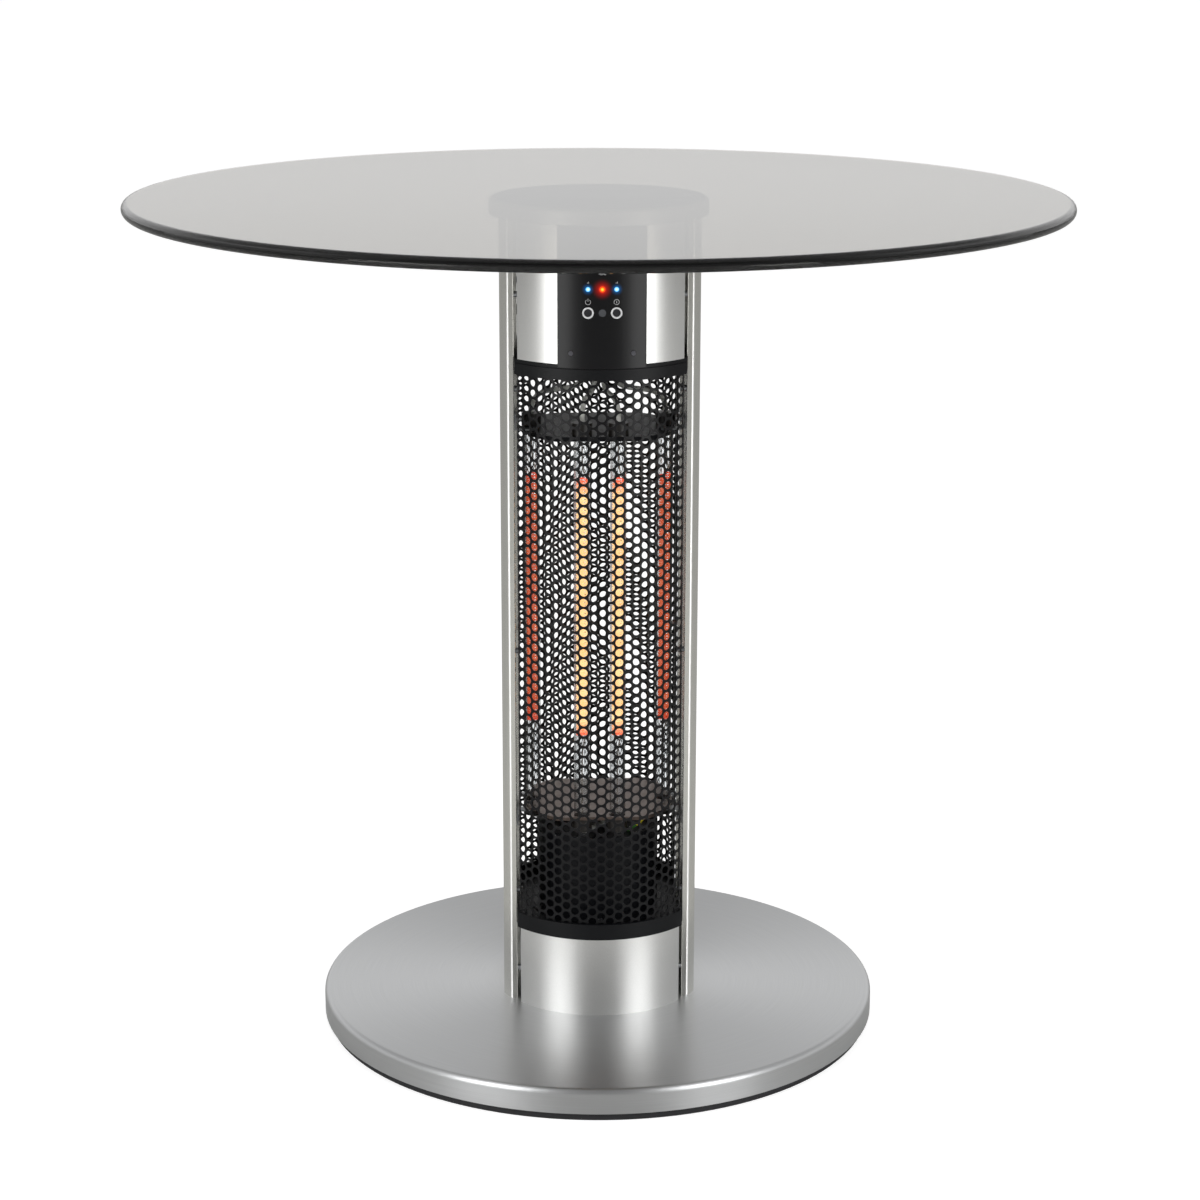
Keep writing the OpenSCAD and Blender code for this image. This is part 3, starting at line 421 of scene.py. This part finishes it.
# Heating coils: resistance wire wound close to the tube's bore, at a bright
# orange heat in the front pair and a duller red at the sides, with a straight
# cold tail at each end.
GLOW_LOW = 273
GLOW_HIGH_FRONT = 502
GLOW_HIGH_SIDE = 497
END_FADE = 14
COIL_PITCH = 2.4
COIL_STEPS = 14
COIL_WIRE_R = 0.75
TAIL_R = 0.6
for tube_name in TUBES:
    in_front = tube_name.startswith("front")
    glow = bpy.data.materials.new(f"glowing_resistance_wire_{tube_name}")
    glow.use_nodes = True
    tree = glow.node_tree
    heat = grain_of(tree, 14, 2.0)
    glow_high = GLOW_HIGH_FRONT if in_front else GLOW_HIGH_SIDE
    glow_half = (glow_high - GLOW_LOW) / 2 * MM
    hot, cool = ("#FFE2A4", "#FFA052") if in_front else ("#F4784A", "#C8402A")
    glow_tone = node(tree, "MixRGB", Fac=heat, Color1=linear(cool), Color2=linear(hot))
    rise = node(tree, "SeparateXYZ", Vector=place_of(tree)).outputs["Z"]
    middle = node(tree, "Math", {"operation": "SUBTRACT"}, i0=rise, i1=(GLOW_LOW + glow_high) / 2 * MM)
    far = node(tree, "Math", {"operation": "ABSOLUTE"}, i0=middle)
    redder = node(tree, "MapRange", Value=far, From_Min=glow_half - END_FADE * MM, From_Max=glow_half)
    glow_colour = node(tree, "MixRGB", Fac=redder, Color1=glow_tone, Color2=linear("#E04A30"))
    glow_light = node(tree, "Emission", Color=glow_colour, Strength=1.6 if in_front else 0.85)
    tree.links.new(glow_light.outputs[0], tree.nodes["Material Output"].inputs["Surface"])
    low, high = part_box(f"coil_{tube_name}")
    axis_x, axis_y = [(low[i] + high[i]) / 2 / MM for i in (0, 1)]
    wound_r = (high[0] - low[0]) / 2 / MM
    wound = int((glow_high - GLOW_LOW) / COIL_PITCH * COIL_STEPS)
    helix = []
    for k in range(wound + 1):
        turn = 2 * pi * k / COIL_STEPS
        helix.append((axis_x + wound_r * cos(turn), axis_y + wound_r * sin(turn),
                      GLOW_LOW + k * COIL_PITCH / COIL_STEPS))
    wire_along(f"heating_coil_{tube_name}", [helix], COIL_WIRE_R, glow, "heating_wire",
               f"coil_{tube_name}", steps=1, sides=1)
    lower_tail = ((0, low[2] / MM), (0, 240), (0, 264), (0.5, 270), (1, GLOW_LOW))
    upper_tail = ((1, glow_high), (0.5, 505), (0, 511), (0, 530), (0, high[2] / MM))
    tails = [[(axis_x + wound_r * off, axis_y, z) for off, z in tail]
             for tail in (lower_tail, upper_tail)]
    cold_wire, tree, shader = material(f"oxidised_resistance_wire_{tube_name}", "#6E655C",
                                       Metallic=1.0, Roughness=0.45)
    set_tone(tree, shader, grain_of(tree, 3), "#5A524B", "#8A7F74")
    wire_along(f"coil_tails_{tube_name}", tails, TAIL_R, cold_wire, "heating_wire")

# Ceramic end caps: steatite pressed in a die. Their colour is a near-black painted
# shade for the shade behind the guard, with a soft shine.
steatite, tree, shader = material("steatite_in_painted_shade", "#1E1B19", Roughness=0.35)
set_tone(tree, shader, grain_of(tree, 5, 4.0), "#181614", "#26221F")
set_relief(tree, shader, grain_of(tree, 0.35, 2.0), 0.04, 0.3)
dress(steatite, "ceramic_caps")

# Tube leads: stranded wire in woven glass-fibre sleeving, light grey. They arch
# over the upper plate to the centre, and drop into the switch housing below.
sleeving, tree, shader = material("woven_glass_fibre_sleeve", "#C9C9C4", Roughness=0.7)
DIAGONAL_BANDS = {"wave_type": "BANDS", "bands_direction": "DIAGONAL"}
weave = node(tree, "TexWave", DIAGONAL_BANDS, Vector=place_of(tree), Scale=0.05 / MM, Distortion=1.5)
set_tone(tree, shader, weave, "#B2B2AC", "#DADAD5")
set_relief(tree, shader, weave, 0.1, 0.5)
SLEEVE_R = 2.2
LEAD_SPREAD = 5
LEAD_RUN_ON = 14
leads_low, leads_high = [corner[2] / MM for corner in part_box("ceramic_caps")]
collar_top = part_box("upper_collar")[1][2] / MM
housing_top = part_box("switch_housing")[1][2] / MM
HOUSING_HOLE = (28, 15)
LEAD_ANGLES = (215, 265, 165, 330)
routes = []
for tube_name, angle in zip(TUBES, LEAD_ANGLES):
    low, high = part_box(f"tube_{tube_name}")
    x, y = [(low[i] + high[i]) / 2 / MM for i in (0, 1)]
    arch = ((1, 0.1), (1, 6), (0.97, 13), (0.82, 19), (0.58, 20.5), (0.36, 22), (0.22, 28), (0.2, 40))
    routes.append([(k * x, k * y, leads_high + rise) for k, rise in arch]
                  + [(0.2 * x, 0.2 * y, collar_top + LEAD_RUN_ON)])
    end_x = HOUSING_HOLE[0] + LEAD_SPREAD * cos(radians(angle))
    end_y = HOUSING_HOLE[1] + LEAD_SPREAD * sin(radians(angle))
    sag = ((0, -0.1), (0, -1.4), (0.08, -3.6), (0.5, -3.6), (0.94, -3.6), (1, -5))
    routes.append([(x + k * (end_x - x), y + k * (end_y - y), leads_low + drop) for k, drop in sag]
                  + [(end_x, end_y, housing_top - LEAD_RUN_ON)])
wire_along("sleeved_leads", routes, SLEEVE_R, sleeving, "lead_sleeve", "tube_leads")

# Earth wire: green and yellow insulation in two helical stripes, from the
# housing to the lower tube plate.
earth_pvc, tree, shader = material("striped_pvc_insulation", "#C8C020", Roughness=0.4)
earth_mark = node(tree, "TexWave", DIAGONAL_BANDS, Vector=place_of(tree), Scale=0.02 / MM)
stripe = node(tree, "Math", {"operation": "GREATER_THAN"}, i0=earth_mark, i1=0.5)
set_tone(tree, shader, stripe, "#D8C81E", "#3E7A2A")
EARTH_R = 1.5
plate_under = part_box("lower_tube_plate")[0][2] / MM
earth_route = [(26, -33, housing_top + 0.1), (26.2, -33.3, 181.6), (29, -36, 184), (33, -38, 187.5),
               (37, -38.5, 191.5), (40, -37.8, 194.5), (40.4, -37.6, plate_under - 0.1)]
wire_along("earth_wire_stripes", [earth_route], EARTH_R, earth_pvc, "earth_sleeve", "earth_wire")

# Guards: steel sheet punched with 7 mm holes in a triangular pattern, bent to
# the column's curve and hemmed back along the rails, then stove enamelled.
HOLE_PITCH = 8.85
HOLE_R = 3.5
HOLE_SIDES = 18
SHEET_T = 0.8
PUNCHED_COLUMNS = 11
PLAIN_MARGIN = 6
WELD_DIST = 0.01 * MM
cell_r = HOLE_PITCH / sqrt(3)
column_step = HOLE_PITCH * sqrt(3) / 2
stove_enamel, tree, shader = material("black_stove_enamel", "#0A0A0C", Roughness=0.42,
                                      Specular_IOR_Level=0.22)
set_tone(tree, shader, grain_of(tree, 30), "#08080A", "#0D0D0F")
set_roughness(tree, shader, grain_of(tree, 5), 0.32, 0.46)


def punched_guard(name, replaced, facing):
    """A guard with every hole punched, six-sided cell by cell, in place of the plain sheet."""
    low, high = [[c / MM for c in corner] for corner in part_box(replaced)]
    bend_r = max(-low[1], high[1]) - SHEET_T / 2
    hem_x = high[0] - SHEET_T / 2
    hem_y = min(abs(low[1]), abs(high[1]))
    bend_u = bend_r * asin(hem_x / bend_r)
    bend_y = sqrt(bend_r ** 2 - hem_x ** 2)
    edge_u = bend_u + bend_y - hem_y
    punched = bmesh.new()

    def sheet_point(u, z):
        """A point of the flat sheet, u across and z up, after bending."""
        u = max(-edge_u, min(edge_u, u))
        z = max(low[2], min(high[2], z))
        if abs(u) <= bend_u:
            x, y = bend_r * sin(u / bend_r), -bend_r * cos(u / bend_r)
        else:
            x, y = hem_x if u > 0 else -hem_x, abs(u) - bend_u - bend_y
        return punched.verts.new((x * MM, facing * y * MM, z * MM))

    def ring_of(u, z, r, sides):
        """Points round a centre on the flat sheet."""
        turns = [2 * pi * k / sides for k in range(sides)]
        return [sheet_point(u + r * cos(turn), z + r * sin(turn)) for turn in turns]

    last_column = ceil(edge_u / column_step)
    last_row = ceil((high[2] - low[2]) / HOLE_PITCH)
    sixth = HOLE_SIDES // 6
    for column in range(-last_column, last_column + 1):
        for row in range(last_row + 1):
            u = column * column_step
            z = low[2] + (row + 0.5 * (column % 2)) * HOLE_PITCH
            corners = ring_of(u, z, cell_r, 6)
            in_margin = not low[2] + PLAIN_MARGIN < z < high[2] - PLAIN_MARGIN
            if in_margin or abs(column) > PUNCHED_COLUMNS:
                punched.faces.new(corners)
                continue
            rim = ring_of(u, z, HOLE_R, HOLE_SIDES)
            for k in range(6):
                arc = [rim[(k * sixth + j) % HOLE_SIDES] for j in range(sixth, -1, -1)]
                punched.faces.new([corners[k], corners[(k + 1) % 6], *arc])
    bmesh.ops.remove_doubles(punched, verts=punched.verts, dist=WELD_DIST)
    bmesh.ops.dissolve_degenerate(punched, edges=punched.edges, dist=WELD_DIST)
    bmesh.ops.recalc_face_normals(punched, faces=punched.faces)
    guard = add_object(name, bpy.data.meshes.new(name))
    punched.to_mesh(guard.data)
    punched.free()
    sheet = guard.modifiers.new("sheet_thickness", "SOLIDIFY")
    sheet.thickness = SHEET_T * MM
    sheet.offset = 0.0
    guard.data.materials.append(stove_enamel)
    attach(guard, "frame")
    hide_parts(replaced)


punched_guard("guard_front", "grille_front", 1)
punched_guard("guard_back", "grille_back", -1)

# Thermal cut-out: a pressed steel can with a bimetal disc inside, on the upper
# collar. It is dull from plating.
nickel_plate, tree, shader = material("dull_nickel_plate", "#A69F8E", Metallic=1.0, Roughness=0.42)
set_tone(tree, shader, grain_of(tree, 4), "#968F7F", "#B4AE9E")
dress(nickel_plate, "thermal_cutout")

# Control panel: black ABS, moulded semi-gloss, with rounded edges that catch a
# pale line. Round each lit lamp a soft pool of painted light is laid in the plastic, which gives it off
# itself.
panel_abs, tree, shader = material("semi_gloss_black_abs", "#0D0D0F", Roughness=0.3,
                                   Specular_IOR_Level=0.25)
set_tone(tree, shader, grain_of(tree, 15), "#0B0B0D", "#101012")
soft_edge = node(tree, "Bevel", {"samples": 6}, Radius=1.2 * MM)
set_relief(tree, shader, grain_of(tree, 0.3, 2.0), 0.02, 0.12, Normal=soft_edge)
lamp_places = {}
for lamp in ("left", "heat", "right"):
    low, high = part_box(f"led_{lamp}_lens")
    lamp_places[lamp] = Vector([(a + b) / 2 for a, b in zip(low, high)])
GLOW_START = 1.8 * MM
LAMP_GLOWS = (("left", "#0A5A9A", 6.0, 1.0), ("right", "#0A5A9A", 6.0, 1.0),
              ("heat", "#E01408", 10.0, 0.8), ("heat", "#FF5A10", 4.0, 1.0))
# painted light: each halo is the panel plastic glowing round a lamp, not light cast by the lamp
painted_glow_sum = None
for lamp, tint, reach, strength in LAMP_GLOWS:
    gap = node(tree, "VectorMath", {"operation": "DISTANCE"}, i0=place_of(tree), i1=lamp_places[lamp])
    fade = node(tree, "MapRange", Value=gap.outputs["Value"], From_Min=GLOW_START,
                From_Max=reach * MM, To_Min=1.0, To_Max=0.0)
    soft = node(tree, "Math", {"operation": "POWER"}, i0=fade, i1=2.4)
    level = node(tree, "Math", {"operation": "MULTIPLY"}, i0=soft, i1=strength)
    halo = node(tree, "VectorMath", {"operation": "SCALE"}, i0=linear(tint)[:3], Scale=level)
    if painted_glow_sum:
        halo = node(tree, "VectorMath", {"operation": "ADD"}, i0=painted_glow_sum, i1=halo)
    painted_glow_sum = halo
tree.links.new(painted_glow_sum.outputs[0], shader.inputs["Emission Color"])
shader.inputs["Emission Strength"].default_value = 1.0
dress(panel_abs, "control_panel")

# Panel screws: small black-oxide screws that show dark grey against the panel.
black_oxide, tree, shader = material("black_oxide_steel", "#6E6E74", Metallic=1.0, Roughness=0.35)
set_tone(tree, shader, grain_of(tree, 0.8), "#5C5C62", "#86868C")
dress(black_oxide, "panel_screws")


# Lamp lenses: lit acrylic pips with domed fronts, blue, red and blue. Each is
# palest in the middle, where the lamp behind it shows.
def turned_front(name, outline, centre, surface, slot, *nodes):
    """A piece turned about the -Y axis. The outline gives (radius, depth behind the front), in mm."""
    steps = 40
    shape = bmesh.new()
    rings = []
    for r, back in outline:
        turns = [2 * pi * k / steps for k in range(steps if r else 1)]
        rings.append([shape.verts.new((centre[0] + r * MM * cos(turn), centre[1] + back * MM,
                                       centre[2] + r * MM * sin(turn))) for turn in turns])
    for near, far in zip(rings, rings[1:]):
        for k in range(steps):
            here, there = [[ring[j % len(ring)] for j in (k, k + 1)] for ring in (near, far)]
            shape.faces.new(dict.fromkeys([*here, *reversed(there)]))
    bmesh.ops.recalc_face_normals(shape, faces=shape.faces)
    made = add_object(name, bpy.data.meshes.new(name))
    shape.to_mesh(made.data)
    shape.free()
    made.data.shade_smooth()
    made.data.set_sharp_from_angle(angle=radians(40))
    made.data.materials.append(surface)
    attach(made, "frame")
    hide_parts(*nodes)


DOME_H = 0.6
DOME_STEPS = 6
LIT_BLUE = ("#D8F6FF", "#2AA2F0", "blue_lens")
LIT_RED = ("#FFC83C", "#FF2A12", "red_lens")
LENS_TONES = {"left": LIT_BLUE, "heat": LIT_RED, "right": LIT_BLUE}
for lamp, (core, rim, lens_slot) in LENS_TONES.items():
    lit = bpy.data.materials.new(f"lit_acrylic_{lamp}")
    lit.use_nodes = True
    tree = lit.node_tree
    low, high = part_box(f"led_{lamp}_lens")
    lens_r = (high[0] - low[0]) / 2 / MM
    front = (lamp_places[lamp][0], low[1], lamp_places[lamp][2])
    gap = node(tree, "VectorMath", {"operation": "DISTANCE"}, i0=place_of(tree), i1=front)
    spread = node(tree, "MapRange", Value=gap.outputs["Value"], From_Min=0.3 * MM, From_Max=lens_r * MM)
    tone = node(tree, "MixRGB", Fac=spread, Color1=linear(core), Color2=linear(rim))
    light = node(tree, "Emission", Color=tone, Strength=1.6)
    tree.links.new(light.outputs[0], tree.nodes["Material Output"].inputs["Surface"])
    back = (high[1] - low[1]) / MM
    rises = [k * pi / (2 * DOME_STEPS) for k in range(DOME_STEPS + 1)]
    dome = [(lens_r * sin(rise), DOME_H * (1 - cos(rise))) for rise in rises]
    lens_outline = dome + [(lens_r, back), (0, back)]
    turned_front(f"lamp_lens_{lamp}", lens_outline, front, lit, lens_slot, f"led_{lamp}_lens")

# Lamp bodies: water-clear epoxy with a flange, on two tinned legs.
epoxy, tree, shader = glass("water_clear_epoxy", "#E8ECEE", "#D8DCE0", IOR=1.5)
set_roughness(tree, shader, grain_of(tree, 1.0), 0.05, 0.16)
dress(epoxy, "indicator_leds")

# Receiver window: smoked acrylic that looks grey against the panel, because
# the receiver's pale housing sits behind it.
smoked_acrylic, tree, shader = material("smoked_acrylic", "#4A4C50", Roughness=0.2, Coat_Weight=0.5)
set_tone(tree, shader, grain_of(tree, 4), "#424448", "#525458")
dress(smoked_acrylic, "ir_window")

# Buttons: satin black polycarbonate plungers, each in a glossy white ring that
# is pressed into the panel.
button_skin, tree, shader = material("satin_polycarbonate", "#202024", Roughness=0.35)
set_tone(tree, shader, grain_of(tree, 3), "#1A1A1E", "#2A2A2F")
set_relief(tree, shader, grain_of(tree, 0.25, 2.0), 0.015, 0.3)
dress(button_skin, "power_button", "standby_button")
ring_white, tree, shader = material("white_polycarbonate_ring", "#E2E3E4", Roughness=0.3)
set_tone(tree, shader, grain_of(tree, 5), "#DADBDD", "#E9EAEB")
dress(ring_white, "button_rings")

# Panel marks: pad-printed white symbols instead of words, a power symbol over
# the left button, a standby symbol over the right, a level mark over each blue
# lamp and a wave over the heat lamp.
panel_ink, tree, shader = material("pad_printed_ink", "#D4D5D6", Roughness=0.5)
set_tone(tree, shader, grain_of(tree, 0.6), "#C2C3C4", "#E0E1E2")
INK_R = 0.22
SIGN_R = 2.2
SIGN_RISE = 9.0
POWER_GAP = 35
LEVEL_RISE = 5.4
WAVE_RISE = 12.5
panel_r = -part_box("control_panel")[0][1] / MM
button_low, button_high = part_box("power_button")
button_z = (button_low[2] + button_high[2]) / 2 / MM
button_x = -(button_low[0] + button_high[0]) / 2 / MM
lamp_z = lamp_places["heat"][2] / MM


def on_panel(x, z):
    """A point on the panel's curved face."""
    return (x, -sqrt(panel_r ** 2 - x ** 2), z)


def arc_mark(x, z, start, stop):
    """Part of a symbol's ring, in degrees clockwise from its top."""
    steps = 14
    turns = [radians(start + (stop - start) * k / steps) for k in range(steps + 1)]
    return [on_panel(x + SIGN_R * sin(t), z + SIGN_R * cos(t)) for t in turns]


def bar_mark(x, *heights):
    """An upright stroke through the heights given."""
    return [on_panel(x, z) for z in heights]


sign_z = button_z + SIGN_RISE
level_z = lamp_z + LEVEL_RISE
marks = [arc_mark(-button_x, sign_z, POWER_GAP, 360 - POWER_GAP), arc_mark(button_x, sign_z, 0, 360),
         bar_mark(-button_x, sign_z + 0.4, sign_z + 1.6, sign_z + 2.8),
         bar_mark(button_x, sign_z - 1.0, sign_z, sign_z + 1.0)]
for side in (-1, 1):
    marks += [bar_mark(side * button_x + 0.5 * k, level_z - 0.6, level_z, level_z + 0.6 + 0.3 * k)
              for k in (-1, 1)]
marks.append([on_panel(0.3 * k, lamp_z + WAVE_RISE + 0.5 * sin(k * pi / 5)) for k in range(-10, 11)])
wire_along("panel_marks", marks, INK_R, panel_ink, "white_ring", sides=1)

# Circuit boards: glass-epoxy under green solder mask, with the copper tracks
# faintly raised beneath it.
solder_mask, tree, shader = material("green_solder_mask", "#1B4D2C", Roughness=0.35)
TRACK_STEP = 9 * MM
upright = node(tree, "Mapping", Vector=place_of(tree), Rotation=(pi / 2, 0, 0))
tracks = node(tree, "TexBrick", {"offset": 0.37}, Vector=upright, Scale=1 / TRACK_STEP,
              Mortar_Size=0.06, Color1=linear("#1B4D2C"), Color2=linear("#22603A"),
              Mortar=linear("#3C8A54"))
tree.links.new(tracks.outputs["Color"], shader.inputs["Base Color"])
set_relief(tree, shader, tracks.outputs["Fac"], 0.03, 0.5)
dress(solder_mask, "control_board", "power_board")

# Power supply: a transformer and capacitors wrapped in yellow polyester tape.
taped, tree, shader = material("yellow_polyester_tape", "#C9A227", Roughness=0.3)
set_tone(tree, shader, grain_of(tree, 1.2, 2.0, (1, 1, 8)), "#B8921F", "#D6B13A")
dress(taped, "power_supply")

# Cap: cast aluminium, painted a satin silver that matches the shells. It is
# screwed to the steel plate across the rails.
silver_paint, tree, shader = material("satin_silver_paint", "#A9AAAA", Metallic=0.7, Roughness=0.38)
set_tone(tree, shader, grain_of(tree, 0.4, 2.0), "#9C9D9D", "#B4B5B5")
set_relief(tree, shader, grain_of(tree, 1.5), 0.02, 0.3)
dress(silver_paint, "top_cap")

# Bond: a thin bed of clear silicone between the cap and the glass.
silicone, tree, shader = glass("clear_silicone", "#E6EAEC", "#E0E0E0", IOR=1.41, Roughness=0.12)
set_roughness(tree, shader, grain_of(tree, 20), 0.1, 0.2)
dress(silicone, "glass_bond")

# Glass top: 10 mm float glass, tinted grey through its whole thickness, with a
# polished pencil edge that looks almost black because the light runs so far in it.
smoked_glass, tree, shader = glass("smoked_float_glass", "#FFFFFF", "#A09F9C", IOR=1.52, Roughness=0.0)
tint = node(tree, "VolumeAbsorption", Color=linear("#EEEDEB"), Density=690.0)
tree.links.new(tint.outputs[0], tree.nodes["Material Output"].inputs["Volume"])
dress(smoked_glass, "glass_top")
